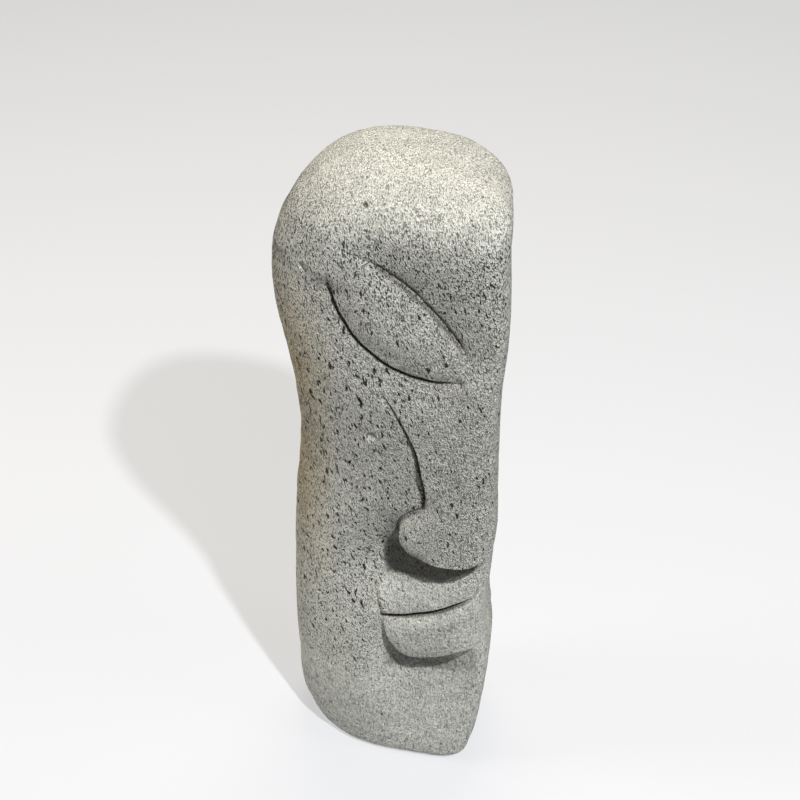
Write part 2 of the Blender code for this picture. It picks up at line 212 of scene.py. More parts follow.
# The largest pores on the front and their depth: centre (x, z), length, width, lean from upright
LARGE_PORE_DEPTH = 0.0018
LARGE_PORES = (
    (-0.0140, 0.3290, 0.0050, 0.0022, 0.15),
    (0.0010, 0.3270, 0.0040, 0.0020, 0.10),
    (-0.0070, 0.3060, 0.0065, 0.0024, -0.45),
    (-0.0150, 0.3120, 0.0040, 0.0018, 0.30),
    (-0.0100, 0.2860, 0.0045, 0.0018, -0.20),
    (0.0010, 0.2810, 0.0050, 0.0020, -0.10),
    (-0.0150, 0.2560, 0.0050, 0.0022, 0.50),
    (-0.0300, 0.2420, 0.0055, 0.0024, 0.10),
    (-0.0070, 0.2290, 0.0040, 0.0018, 0.60),
    (-0.0300, 0.2060, 0.0040, 0.0018, 0.20),
    (-0.0230, 0.2110, 0.0035, 0.0018, 0.40),
    (-0.0058, 0.4277, 0.0055, 0.0028, -0.30),
)

# Pale chips on the front: centre (x, z) and radius, and their depth
CHIPS = ((-0.0398, 0.3865, 0.0032), (-0.0003, 0.2805, 0.0034))
CHIP_DEPTH = 0.0017

# Gentle unevenness left by the carver's tools. It and the pores start above the flat underside
WAVE_SEED = 3
WAVES = 40
WAVE_LENGTH = (0.010, 0.045)
WAVE_HEIGHT = 0.00035
UNEVEN_FROM = (0.0, 0.002)

# Colours of the stone's body, in two tones each: upper part, lower part, cheek
DARK_STONE = (0.258, 0.262, 0.242, 1.0)
LIGHT_STONE = (0.312, 0.315, 0.290, 1.0)
PALE_STONE_DARK = (0.327, 0.334, 0.310, 1.0)
PALE_STONE = (0.372, 0.380, 0.352, 1.0)
CHEEK_STONE_DARK = (0.425, 0.428, 0.388, 1.0)
CHEEK_STONE = (0.482, 0.486, 0.440, 1.0)

# Colours on it: grains, tool streaks, a browner temple side, painted shade in crevices, pits and creases,
# painted shadow under the nose and lips, chips
GRAIN_STONE = (0.560, 0.555, 0.515, 1.0)
STREAK_STONE_AND_CREVICE_SHADE = (0.055, 0.054, 0.049, 1.0)
PIT_SHADE_STONE = (0.010, 0.009, 0.008, 1.0)
BROWN_STONE = (0.345, 0.292, 0.190, 1.0)
PAINTED_SHADOW_STONE = (0.066, 0.063, 0.052, 1.0)
CREASE_SHADE_STONE = (0.060, 0.054, 0.045, 1.0)
FRESH_STONE = (0.340, 0.343, 0.318, 1.0)
STONE_ROUGHNESS = 0.95
STONE_SPECULAR = 0.2

# Noise patterns: scale, detail, roughness
CREVICE_NOISE = (1340.0, 0.6, 0.60)
PIT_NOISE = (640.0, 0.3, 0.5)
MOTTLE_NOISE = (90.0, 3.0, 0.6)
BROWN_NOISE = (14.0, 2.0, 0.5)
STREAK_NOISE = (800.0, 2.0, 0.6)
GRAIN_NOISE = (1250.0, 1.5, 0.6)
SWELL_NOISE = (300.0, 1.0, 0.5)

# How far the crevices and the pits lean from upright, and how far each pattern is drawn out
CREVICE_LEAN = -0.12
PIT_LEAN = -0.30
CREVICE_STRETCH = (1.0, 1.45, 2.7)
PIT_STRETCH = (1.0, 1.6, 3.0)
GRAIN_STRETCH = (1.0, 1.2, 1.6)
STREAK_STRETCH = (1.0, 2.0, 5.0)

# Noise values between which a pattern goes from none to full
CREVICE_RIM = (0.425, 0.378)
PIT_RIM = (0.311, 0.297)
MOTTLE_RIM = (0.35, 0.65)
BROWN_RIM = (0.30, 0.50)
STREAK_RIM = (0.45, 0.33)
GRAIN_RIM = (0.55, 0.66)

# Parts of the block between no effect and full effect: side is x, depth is y, level is z, all from the
# middle of the underside
FRONT_DEPTH = (-0.010, -0.020)
PIT_CHEEK_SIDE = (0.022, 0.004)
PIT_CHEEK_TOP = (0.350, 0.320)
PIT_CHEEK_FOOT = (0.090, 0.150)
CHEEK_SIDE = (0.010, -0.006)
CHEEK_TOP = (0.270, 0.170)
CHEEK_FOOT = (0.040, 0.075)
PALE_LEVEL = (0.260, 0.180)
BROWN_SIDE = (-0.024, -0.052)
BROWN_FOOT = (0.13, 0.22)
BROWN_TOP = (0.39, 0.31)
BROW_LEVEL = (0.345, 0.385)
CROWN_LEVEL = (0.405, 0.432)

# Stone worked smoother: the chin and mouth on the front, and the whole foot
WORKED_TOP = (0.185, 0.150)
WORKED_SIDE = (-0.012, 0.004)
WORKED_DEPTH = (0.010, -0.015)
WORKED_FOOT = (0.085, 0.060)

# Painted shadow in the hollow under the nose: its floor climbs past a place on the upper lip
NOSE_SHADOW_RISE_START = 0.036
NOSE_SHADOW_RISE = 0.60
NOSE_SHADOW_FLOOR = (0.1590, 0.1625)
NOSE_SHADOW_TOP = (0.208, 0.190)
NOSE_SHADOW_LEFT = (-0.001, 0.003)
NOSE_SHADOW_RIGHT = (0.064, 0.054)
NOSE_SHADOW_DEPTH = (-0.0450, -0.0405)

# Painted shadow in the hollow under the lower lip
LIP_SHADOW_FLOOR = (0.0725, 0.0755)
LIP_SHADOW_TOP = (0.112, 0.100)
LIP_SHADOW_LEFT = (-0.002, 0.004)
LIP_SHADOW_RIGHT = (0.050, 0.040)
LIP_SHADOW_DEPTH = (-0.0400, -0.0360)

# How near other stone must be for a crease to be painted darker as shade, and the share of open sky that it
# sees
CREASE_SHADE_REACH = 0.010
CREASE_SHADE_RIM = (0.74, 0.50)
CREASE_SHADE_SAMPLES = 8

# How strongly each thing shows in the colour, from 0 to 1
GRAIN_STRENGTH = 0.50
STREAK_STRENGTH = 0.45
BROWN_STRENGTH = 0.85
NOSE_SHADOW_STRENGTH = 0.82
LIP_SHADOW_STRENGTH = 0.50
CREVICE_SHADE_STRENGTH = 0.60
BROW_SHADE_GAIN = 0.38
PIT_SHADE_STRENGTH = 0.96
CREASE_SHADE_STRENGTH = 0.88
CHIP_STRENGTH = 0.75

# How much smoother the crown, the worked stone and the chips are, and how much rarer pits are off the cheek
CROWN_CALM = 0.60
WORKED_CALM = 0.71
CHIP_CALM = 0.80
PIT_RARITY = 0.035

# Full colour reaches this share of a chip's radius
CHIP_BOWL = 0.6

# Shares of the fine relief, and its height
GRAIN_RISE = 1.1
CREVICE_FALL = 2.6
PIT_FALL = 1.6
SWELL_RISE = 0.5
FINE_RELIEF = 0.0024

# Floor: half its size, its two tones, their noise and its own glow
FLOOR_REACH = 6.0
FLOOR_DARK = (0.196, 0.202, 0.220, 1.0)
FLOOR_LIGHT = (0.200, 0.206, 0.224, 1.0)
FLOOR_NOISE = (1.5, 2.0, 0.5)
FLOOR_GLOW = 0.498

# Lights: name, place, what it aims at, size, power, colour
LIGHTS = (
    ("key", (0.497, -0.612, 1.36), (0.0, 0.0, 0.25), 0.05, 34.5, (1.0, 1.0, 0.99)),
    ("overhead", (-0.05, 0.50, 1.60), (0.0, 0.0, 0.40), 0.70, 17.4, (1.0, 0.88, 0.70)),
    ("fill", (-1.10, -0.15, 0.75), (0.0, 0.0, 0.22), 0.50, 11.0, (1.0, 0.93, 0.82)),
    ("side", (1.10, -0.05, 0.95), (0.0, 0.0, 0.25), 0.50, 4.0, (1.0, 0.98, 0.92)),
)
ROOM_COLOUR = (0.97, 0.99, 1.0, 1.0)
ROOM_STRENGTH = 0.03

# Camera
CAMERA_PLACE = (0.16666, -0.75724, 0.91894)
CAMERA_TILT = math.radians(50.0)
CAMERA_TURN = math.radians(12.0)
CAMERA_LENS = 76.5


def smooth_step(start, end, value):
    """0 up to start, 1 from end on, and a smooth rise between."""
    t = np.clip((value - start) / (end - start), 0.0, 1.0)
    return t * t * (3.0 - 2.0 * t)


def curve_through(stations, at):
    """Smooth value at each place, through (place, value) pairs."""
    place, value = np.array(stations).T
    step = np.diff(place)
    slope = np.diff(value) / step
    inner = (slope[:-1] * step[1:] + slope[1:] * step[:-1]) / (step[:-1] + step[1:])
    tangent = np.concatenate(([slope[0]], inner, [slope[-1]]))
    at = np.clip(at, place[0], place[-1])
    i = np.clip(np.searchsorted(place, at, side="right") - 1, 0, len(step) - 1)
    t = (at - place[i]) / step[i]
    rise = t * t * (3.0 - 2.0 * t)
    start_part = t * (1.0 - t) ** 2 * step[i] * tangent[i]
    end_part = t * t * (1.0 - t) * step[i] * tangent[i + 1]
    return value[i] * (1.0 - rise) + value[i + 1] * rise + start_part - end_part


def shoulder(height, start, power):
    """How much of a side's reach is left at a height: 1 below its shoulder, 0 at the crown."""
    t = np.clip((height - start) / (HEIGHT - start), 0.0, 1.0)
    return np.maximum(1.0 - t ** power, 0.0) ** (1.0 / power)


def foot_inset(height):
    """How far the rounded lower edge stands in at a height."""
    t = np.clip(1.0 - height / FOOT_RADIUS, 0.0, 1.0)
    return FOOT_RADIUS * (1.0 - np.sqrt(1.0 - t * t))


def block_sides(height):
    """The temple, nose, front and back sides of the plain block at each height."""
    inset = foot_inset(height)
    temple = curve_through(TEMPLE_SIDE, height) + inset - CROWN[0]
    nose = curve_through(NOSE_SIDE, height) - inset - CROWN[0]
    front = curve_through(FRONT_SIDE, height) + inset
    back = curve_through(BACK_SIDE, height) - inset - CROWN[1]
    temple = CROWN[0] + temple * shoulder(height, *TEMPLE_SHOULDER)
    nose = CROWN[0] + nose * shoulder(height, *NOSE_SHOULDER)
    back = CROWN[1] + back * shoulder(height, *BACK_SHOULDER)
    return temple, nose, front, back


def block_surface(height, angle):
    """Points of the plain block, the outward direction at each, and how far each is behind the front."""
    temple, nose, front, back = block_sides(height)
    centre_x = temple + (nose - temple) * PLAN_CENTRE
    centre_y = (front + back) / 2.0
    cos, sin = np.cos(angle), np.sin(angle)
    reach_x = np.where(cos >= 0.0, nose - centre_x, centre_x - temple)
    reach_y = np.where(sin >= 0.0, back - centre_y, centre_y - front)
    front_power = np.where(cos >= 0.0, ROUND_FRONT_NOSE, ROUND_FRONT_TEMPLE)
    back_power = np.where(cos >= 0.0, ROUND_BACK_NOSE, ROUND_BACK_TEMPLE)
    power = np.where(sin < 0.0, front_power, back_power)
    along_x = np.abs(cos / reach_x)
    along_y = np.abs(sin / reach_y)
    radius = (along_x ** power + along_y ** power) ** (-1.0 / power)
    out_x = np.sign(cos) * along_x ** (power - 1.0) / reach_x
    out_y = np.sign(sin) * along_y ** (power - 1.0) / reach_y
    length = np.hypot(out_x, out_y)
    behind = centre_y + radius * sin - front
    lean = NOSE_SIDE_LEAN * behind * np.clip(radius * cos / reach_x, 0.0, 1.0)
    x = centre_x + radius * cos - np.where(cos >= 0.0, lean, 0.0)
    return x, front + behind, out_x / length, out_y / length, behind


def dense_path(points):
    """A smooth line through a path's points, as many short straight pieces."""
    points = np.array(points)
    place = np.arange(len(points), dtype=float)
    at = np.linspace(0.0, len(points) - 1.0, (len(points) - 1) * PATH_STEPS + 1)
    x = curve_through(np.stack([place, points[:, 0]], axis=1), at)
    z = curve_through(np.stack([place, points[:, 1]], axis=1), at)
    return np.stack([x, z], axis=1)


def side_distance(x, z, points):
    """Distance from a path, positive on its left when walking along it."""
    path = dense_path(points)
    best = np.full(x.shape, np.inf)
    side = np.ones(x.shape)
    for start, run in zip(path[:-1], np.diff(path, axis=0)):
        off_x = x - start[0]
        off_z = z - start[1]
        t = np.clip((off_x * run[0] + off_z * run[1]) / (run @ run), 0.0, 1.0)
        distance = np.hypot(off_x - t * run[0], off_z - t * run[1])
        nearer = distance < best
        best[nearer] = distance[nearer]
        side[nearer] = np.where(run[0] * off_z - run[1] * off_x < 0.0, -1.0, 1.0)[nearer]
    return best * side


def roll_off(inside, width):
    """Quarter-round fall towards an edge: 1 on the edge, 0 from a width inside it."""
    t = np.clip(inside / width, 0.0, 1.0)
    return 1.0 - np.sqrt(1.0 - (1.0 - t) ** 2)


def ease_off(inside, width):
    """Gentle curved fall towards an edge: 1 on the edge, 0 from a width inside it."""
    return (1.0 - np.clip(inside / width, 0.0, 1.0)) ** 2


def eye_relief(x, z):
    """Carving of the eye, the groove under it and the hollow under the brow, outward positive."""
    in_lower = EYE_LOWER_RADIUS - np.hypot(x - EYE_LOWER_CENTRE[0], z - EYE_LOWER_CENTRE[1])
    in_upper = EYE_UPPER_RADIUS - np.hypot(x - EYE_UPPER_CENTRE[0], z - EYE_UPPER_CENTRE[1])
    upper_fade = smooth_step(*HOLLOW_TEMPLE_END, x)
    lower_fade = smooth_step(*EYE_LOWER_END, z)
    tip_fade = smooth_step(*EYE_TIP_FADE, in_upper)

    hollow = HOLLOW_DEPTH * ease_off(-in_upper, HOLLOW_REACH)
    hollow = hollow + LID_GROOVE_DEPTH * ease_off(-in_upper, LID_GROOVE_WIDTH)
    hollow = hollow * upper_fade * (1.0 - smooth_step(*HOLLOW_NOSE_END, x)) * smooth_step(*HOLLOW_LOW_END, z)
    lid = EYE_UPPER_DROP * upper_fade * smooth_step(*EYE_UPPER_END, z) * ease_off(in_upper, EYE_UPPER_ROLL)
    lid = lid + EYE_LOWER_DROP * lower_fade * tip_fade * ease_off(in_lower, EYE_LOWER_ROLL)
    groove = EYE_GROOVE_DEPTH * tip_fade * (1.0 - smooth_step(0.0, EYE_GROOVE_WIDTH, -in_lower))
    socket = SOCKET_DEPTH * (1.0 - smooth_step(0.0, SOCKET_WIDTH, -in_lower))
    socket = socket * smooth_step(0.0, SOCKET_TIP_FADE, in_upper)

    over_groove = smooth_step(-EDGE_WIDTH, EDGE_WIDTH, in_lower)
    eye = lid * over_groove + lower_fade * (groove + socket) * (1.0 - over_groove)
    on_eye = smooth_step(-EDGE_WIDTH, EDGE_WIDTH, in_upper)
    return -hollow * (1.0 - on_eye) - eye * on_eye


def lips_depth(x, z, in_lips, cut):
    """How deep the lips lie behind the plain front, with the line between them."""
    over_mouth = side_distance(x, z, MOUTH_LINE)
    slope = smooth_step(*UPPER_LIP_SLOPE, over_mouth)
    edge = np.minimum(in_lips, over_mouth)
    upper_lip = UPPER_LIP_DEPTH + (cut - UPPER_LIP_DEPTH) * slope
    upper_lip = upper_lip + UPPER_LIP_ROLL_DROP * (1.0 - slope) * roll_off(edge, UPPER_LIP_ROLL)
    lower_lip = LOWER_LIP_DEPTH + LIP_EDGE_DROP * roll_off(in_lips, LIP_ROLL)
    lower_lip = lower_lip + LIP_TOP_DROP * ease_off(-over_mouth, LIP_ROLL)
    over = smooth_step(-EDGE_WIDTH, EDGE_WIDTH, over_mouth)
    line = np.clip(1.0 - np.abs(2.0 * over_mouth / MOUTH_WIDTH + 1.0), 0.0, 1.0)
    line = MOUTH_DEPTH * smooth_step(*MOUTH_CORNER, x) * line
    return upper_lip * over + lower_lip * (1.0 - over) + line


def nose_and_mouth_relief(x, z):
    """Carving of the nose, the lips and the face cut back around them, outward positive."""
    off_nose = -side_distance(x, z, NOSE_EDGE)
    in_lips = side_distance(x, z, LIPS_EDGE)
    off_wing = np.hypot(x - WING_TOP[0], z - WING_TOP[1])
    softness = 1.0 - smooth_step(0.0, WING_TOP_REACH, off_wing)

    cut = curve_through(CUT_BACK, z)
    cheek = cut * (1.0 - smooth_step(0.0, CUT_BACK_REACH, curve_through(FACE_LINE, z) - x))
    cheek = cheek + NOSE_LINE_DEPTH * ease_off(off_nose, NOSE_LINE_WIDTH) * smooth_step(*NOSE_LINE_TOP, z)
    cheek = cheek - CHEEK_LIFT * (1.0 - smooth_step(0.0, CHEEK_LIFT_REACH, off_wing))
    cheek = cheek + WING_CREASE * softness * ease_off(off_nose, WING_CREASE_WIDTH)

    on_lips = smooth_step(-EDGE_WIDTH, EDGE_WIDTH, in_lips)
    face = cheek * (1.0 - on_lips) + lips_depth(x, z, in_lips, cut) * on_lips
    at_corner = smooth_step(*CORNER_START, x)
    face = face * (1.0 - at_corner) + curve_through(CORNER_CUT, z) * at_corner

    wing = (1.0 - smooth_step(*WING_END, x)) * (1.0 - smooth_step(*WING_LOW, z))
    nose = NOSE_RISE * (1.0 - smooth_step(*NOSE_RISE_ENDS, z))
    nose = nose - WING_FALL * ease_off(-off_nose, WING_FALL_WIDTH) * wing
    width = EDGE_WIDTH + (WING_EDGE_WIDTH - EDGE_WIDTH) * softness
    on_nose = 1.0 - smooth_step(-width, width, off_nose)
    return nose * on_nose - face * (1.0 - on_nose)


def relief(x, z):
    """All carving on the front, as a rise out of the plain block."""
    return eye_relief(x, z) + nose_and_mouth_relief(x, z)


def middle(values):
    """Half way between the least and the greatest value."""
    return (values.min() + values.max()) / 2.0


def ring_angles():
    """Angles of the columns, closer together over the carved front."""
    front = np.linspace(np.pi, 2.0 * np.pi, COLUMNS_FRONT, endpoint=False)
    back = np.linspace(0.0, np.pi, COLUMNS_BACK, endpoint=False)
    return np.concatenate([front, back])


def ring_heights():
    """Heights of the rows, closer together at the foot, the mouth, the eye and the crown."""
    foot = FOOT_RADIUS * (1.0 - np.cos(np.linspace(0.0, np.pi / 2.0, FOOT_ROWS, endpoint=False)))
    heights = [foot]
    start = FOOT_RADIUS
    for top, rows in WALL_ROWS:
        heights.append(np.linspace(start, top, rows, endpoint=False))
        start = top
    heights.append(HEIGHT - (HEIGHT - start) * np.linspace(1.0, CAP_SIZE, DOME_ROWS) ** 2)
    return np.concatenate(heights)


def waves(points):
    """Smooth random unevenness, as a sum of long waves in random directions."""
    rng = np.random.default_rng(WAVE_SEED)
    total = np.zeros(points.shape[:2])
    for _ in range(WAVES):
        direction = rng.normal(size=3)
        direction = direction / np.linalg.norm(direction)
        length = rng.uniform(*WAVE_LENGTH)
        phase = rng.uniform(0.0, 2.0 * np.pi)
        total = total + np.sin(points @ direction * (2.0 * np.pi / length) + phase)
    return total / math.sqrt(WAVES) * WAVE_HEIGHT


def sink(depth, points, centre, along, size):
    """Deepens a depth field by one oval pit about a point, long in one direction."""
    length, width, deep = size
    rows = np.abs(points[:, :, 2].mean(axis=1) - centre[2]) < length
    near = points[rows] - centre
    run = near @ along
    across = np.sqrt(np.maximum((near ** 2).sum(axis=2) - run ** 2, 0.0))
    radius = (run / (length / 2.0)) ** 2 + (across / (width / 2.0)) ** 2
    pit = deep * np.clip(1.0 - radius, 0.0, 1.0) ** PORE_ROUNDNESS
    depth[rows] = np.maximum(depth[rows], pit)


def direction_on(outward, lean):
    """Direction on the surface that leans from upright by an angle, for an outward direction."""
    level = np.array([-outward[1], outward[0], 0.0])
    return math.cos(lean) * np.array([0.0, 0.0, 1.0]) + math.sin(lean) * level


def pit_at(depth, points, outward, around, height, place, lean, size):
    """Deepens a depth field by a pit at a place (x, z) on the front."""
    row = int(np.searchsorted(height[:, 0], place[1]))
    column = int(np.argmin(np.abs(around[row, :COLUMNS_FRONT] - place[0])))
    along = direction_on(outward[row, column], lean)
    sink(depth, points, points[row, column], along, size)


def pits(points, outward, around, height):
    """Depth of all pores and chips at each point."""
    rng = np.random.default_rng(PORE_SEED)
    depth = np.zeros(height.shape)
    columns = height.shape[1]
    for _ in range(PORE_COUNT):
        row = int(np.searchsorted(height[:, 0], rng.uniform(PORE_MARGIN, HEIGHT - PORE_MARGIN)))
        column = rng.integers(columns)
        along = direction_on(outward[row, column], rng.normal(0.0, PORE_LEAN))
        size = (rng.uniform(*PORE_LENGTH), rng.uniform(*PORE_WIDTH), rng.uniform(*PORE_DEPTH))
        sink(depth, points, points[row, column], along, size)
    for _ in range(CHEEK_PORES):
        place = (rng.uniform(*CHEEK_PORE_X), rng.uniform(*CHEEK_PORE_Z))
        lean = rng.normal(0.0, CHEEK_PORE_LEAN)
        size = (rng.uniform(*CHEEK_PORE_LENGTH), rng.uniform(*CHEEK_PORE_WIDTH), CHEEK_PORE_DEPTH)
        pit_at(depth, points, outward, around, height, place, lean, size)
    for x, z, length, width, lean in LARGE_PORES:
        pit_at(depth, points, outward, around, height, (x, z), lean, (length, width, LARGE_PORE_DEPTH))
    for x, z, radius in CHIPS:
        size = (2.0 * radius, 2.0 * radius, CHIP_DEPTH)
        pit_at(depth, points, outward, around, height, (x, z), 0.0, size)
    return depth


def stone_points():
    """Rows of points on the carved stone, from the foot to the crown, and the middle of the block."""
    height, angle = np.meshgrid(ring_heights(), ring_angles(), indexing="ij")
    x, y, out_x, out_y, behind = block_surface(height, angle)
    around = x + np.where(out_x > 0.0, behind, 0.0)
    on_front = smooth_step(*FRONT_FACING, out_y) * smooth_step(*TEMPLE_FACING, out_x)
    carved = relief(around, height) * on_front
    twist = TOP_TWIST * x * y * smooth_step(TOP_TWIST_START, HEIGHT, height)
    sideways = SIDE_SHARE * smooth_step(*CORNER_TURN, around) * (1.0 - smooth_step(*SIDE_FADE, around))
    x = x + carved * sideways
    y = y - carved * np.clip(1.0 - behind / CARVING_REACH, 0.0, 1.0)
    centre = (middle(x), middle(y))
    points = np.stack([x - centre[0], y - centre[1], height + twist], axis=2)
    outward = np.stack([out_x, out_y, np.zeros_like(out_x)], axis=2)
    inward = pits(points, outward, around, height) + np.abs(waves(points))
    inward = inward * smooth_step(*UNEVEN_FROM, height)
    return points - inward[:, :, None] * surface_normals(points), centre


def surface_normals(points):
    """Outward unit normals of the grid of points."""
    along = np.roll(points, -1, axis=1) - np.roll(points, 1, axis=1)
    upward = np.gradient(points, axis=0)
    normal = np.cross(along, upward)
    length = np.linalg.norm(normal, axis=2, keepdims=True)
    return normal / np.maximum(length, 1e-12)


def grid_mesh(points):
    """Closed mesh through rows of points, with a flat foot and a small cap at the crown."""
    rows, columns, _ = points.shape
    index = np.arange(rows * columns).reshape(rows, columns)
    lower, upper = index[:-1], index[1:]
    quads = np.stack([lower, np.roll(lower, -1, axis=1), np.roll(upper, -1, axis=1), upper], axis=2)
    faces = quads.reshape(-1, 4).tolist() + [index[0, ::-1].tolist(), index[-1].tolist()]
    mesh = bpy.data.meshes.new("stone")
    mesh.from_pydata(points.reshape(-1, 3).tolist(), [], faces)
    mesh.update()
    return mesh


def thinned(stone):
    """The stone's mesh with fewer triangles, and its underside flat again."""
    thin = stone.modifiers.new("fewer triangles", "DECIMATE")
    full = sum(len(face.vertices) - 2 for face in stone.data.polygons)
    thin.ratio = TRIANGLES / full
    evaluated = stone.evaluated_get(bpy.context.evaluated_depsgraph_get())
    mesh = bpy.data.meshes.new_from_object(evaluated)
    stone.modifiers.clear()
    for vertex in mesh.vertices:
        if vertex.co.z < FLAT_BELOW:
            vertex.co.z = 0.0
    return mesh


def make_stone():
    """The stone in place of the solid, and the middle that it was moved by."""
    points, centre = stone_points()
    stone = bpy.data.objects.new("stone", grid_mesh(points))
    bpy.context.collection.objects.link(stone)
    stone.data = thinned(stone)
    stone.data.shade_smooth()
    stone.data.materials.append(stone_material(centre[0]))
    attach(stone, "root")
    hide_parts("stone_face")
    return centre


class Graph:
    """A material's nodes, made and joined in short calls."""

    def __init__(self, name):
        self.material = bpy.data.materials.new(name)
        self.material.use_nodes = True
        self.tree = self.material.node_tree
        self.shader = self.tree.nodes["Principled BSDF"]

    def node(self, kind, inputs=None, **settings):
        """A new node, with its settings and with values or sockets for its inputs."""
        node = self.tree.nodes.new(kind)
        for key, value in settings.items():
            setattr(node, key, value)
        for key, value in (inputs or {}).items():
            self.put(value, node.inputs[key])
        return node

    def put(self, value, socket):
        """Joins a socket to an input, or sets a plain value on it."""
        if isinstance(value, bpy.types.NodeSocket):
            self.tree.links.new(value, socket)
        else:
            socket.default_value = value

    def math(self, operation, a, b):
        return self.node("ShaderNodeMath", {0: a, 1: b}, operation=operation).outputs[0]

    def ramp(self, value, low, high):
        """0 where the value is at low, 1 where it is at high."""
        node = self.node("ShaderNodeMapRange", {0: value, 1: low, 2: high, 3: 0.0, 4: 1.0})
        return node.outputs[0]

    def blend(self, factor, first, second):
        """The first colour where the factor is 0, the second where it is 1."""
        node = self.node("ShaderNodeMix", data_type="RGBA", blend_type="MIX")
        self.put(factor, node.inputs[0])
        self.put(first, node.inputs[6])
        self.put(second, node.inputs[7])
        return node.outputs[2]

    def noise(self, place, scale, detail, roughness):
        inputs = {"Vector": place, "Scale": scale, "Detail": detail, "Roughness": roughness}
        return self.node("ShaderNodeTexNoise", inputs).outputs[0]

    def stretched(self, place, lean, factors):
        """Coordinates in which a pattern leans from upright and is drawn out."""
        inputs = {0: place, "Rotation": (0.0, lean, 0.0), "Scale": factors}
        return self.node("ShaderNodeMapping", inputs, vector_type="TEXTURE").outputs[0]

    def product(self, *factors):
        value = factors[0]
        for factor in factors[1:]:
            value = self.math("MULTIPLY", value, factor)
        return value


def pit_layers(graph, place, side, level):
    """Crevices between the grains and deeper pits, most on the cheek, each 1 inside and 0 outside."""
    fine = graph.stretched(place, CREVICE_LEAN, CREVICE_STRETCH)
    crevices = graph.ramp(graph.noise(fine, *CREVICE_NOISE), *CREVICE_RIM)
    coarse = graph.stretched(place, PIT_LEAN, PIT_STRETCH)
    on_cheek = graph.product(graph.ramp(side, *PIT_CHEEK_SIDE), graph.ramp(level, *PIT_CHEEK_TOP))
    on_cheek = graph.product(on_cheek, graph.ramp(level, *PIT_CHEEK_FOOT))
    rarity = graph.math("MULTIPLY", graph.math("SUBTRACT", 1.0, on_cheek), PIT_RARITY)
    deep = graph.ramp(graph.math("ADD", graph.noise(coarse, *PIT_NOISE), rarity), *PIT_RIM)
    return crevices, deep


def painted_nose_shadow(graph, side, depth, level):
    """How dark the painted shadow under the nose is, 0 outside it."""
    rising = graph.math("MAXIMUM", graph.math("SUBTRACT", side, NOSE_SHADOW_RISE_START), 0.0)
    over_lips = graph.math("SUBTRACT", level, graph.product(rising, NOSE_SHADOW_RISE))
    inside = graph.product(graph.ramp(over_lips, *NOSE_SHADOW_FLOOR), graph.ramp(level, *NOSE_SHADOW_TOP))
    inside = graph.product(inside, graph.ramp(side, *NOSE_SHADOW_LEFT), graph.ramp(side, *NOSE_SHADOW_RIGHT))
    return graph.product(inside, graph.ramp(depth, *NOSE_SHADOW_DEPTH), NOSE_SHADOW_STRENGTH)


def painted_lip_shadow(graph, side, depth, level):
    """How dark the painted shadow under the lower lip is, 0 outside it."""
    inside = graph.product(graph.ramp(level, *LIP_SHADOW_FLOOR), graph.ramp(level, *LIP_SHADOW_TOP))
    inside = graph.product(inside, graph.ramp(side, *LIP_SHADOW_LEFT), graph.ramp(side, *LIP_SHADOW_RIGHT))
    return graph.product(inside, graph.ramp(depth, *LIP_SHADOW_DEPTH), LIP_SHADOW_STRENGTH)


def chipped(graph, middle_x, side, depth, level):
    """1 in the bowls of the pale chips, fading to 0 at their rims."""
    total = 0.0
    for x, z, radius in CHIPS:
        across = graph.math("SUBTRACT", side, x - middle_x)
        up = graph.math("SUBTRACT", level, z)
        square = graph.math("ADD", graph.product(across, across), graph.product(up, up))
        bowl = graph.ramp(square, radius ** 2, (CHIP_BOWL * radius) ** 2)
        total = graph.math("MAXIMUM", total, bowl)
    return graph.product(total, graph.ramp(depth, *FRONT_DEPTH))


def body_colour(graph, place, side, level):
    """Mottled grey, paler low down and palest on the cheek."""
    mottle = graph.ramp(graph.noise(place, *MOTTLE_NOISE), *MOTTLE_RIM)
    cheek = graph.product(graph.ramp(level, *CHEEK_TOP), graph.ramp(side, *CHEEK_SIDE))
    cheek = graph.product(cheek, graph.ramp(level, *CHEEK_FOOT))
    body = graph.blend(mottle, DARK_STONE, LIGHT_STONE)
    pale = graph.blend(mottle, PALE_STONE_DARK, PALE_STONE)
    body = graph.blend(graph.ramp(level, *PALE_LEVEL), body, pale)
    return graph.blend(cheek, body, graph.blend(mottle, CHEEK_STONE_DARK, CHEEK_STONE))


def browned_and_shadowed(graph, base, place, side, depth, level):
    """A colour browner on the temple side, with painted shadow under the nose and lips."""
    # Browner on the temple side, in broad patches between a foot and a top level
    broad = graph.noise(place, *BROWN_NOISE)
    browned = graph.product(graph.ramp(side, *BROWN_SIDE), graph.ramp(level, *BROWN_FOOT))
    browned = graph.product(browned, graph.ramp(level, *BROWN_TOP), graph.ramp(broad, *BROWN_RIM))
    base = graph.blend(graph.product(browned, BROWN_STRENGTH), base, BROWN_STONE)
    # Painted shadow: the stone under the nose and under the lower lip is coloured dark as shade
    nose_shadow = painted_nose_shadow(graph, side, depth, level)
    lip_shadow = painted_lip_shadow(graph, side, depth, level)
    painted_shadows = graph.math("MAXIMUM", nose_shadow, lip_shadow)
    return graph.blend(graph.product(painted_shadows, graph.ramp(depth, *FRONT_DEPTH)), base, PAINTED_SHADOW_STONE)


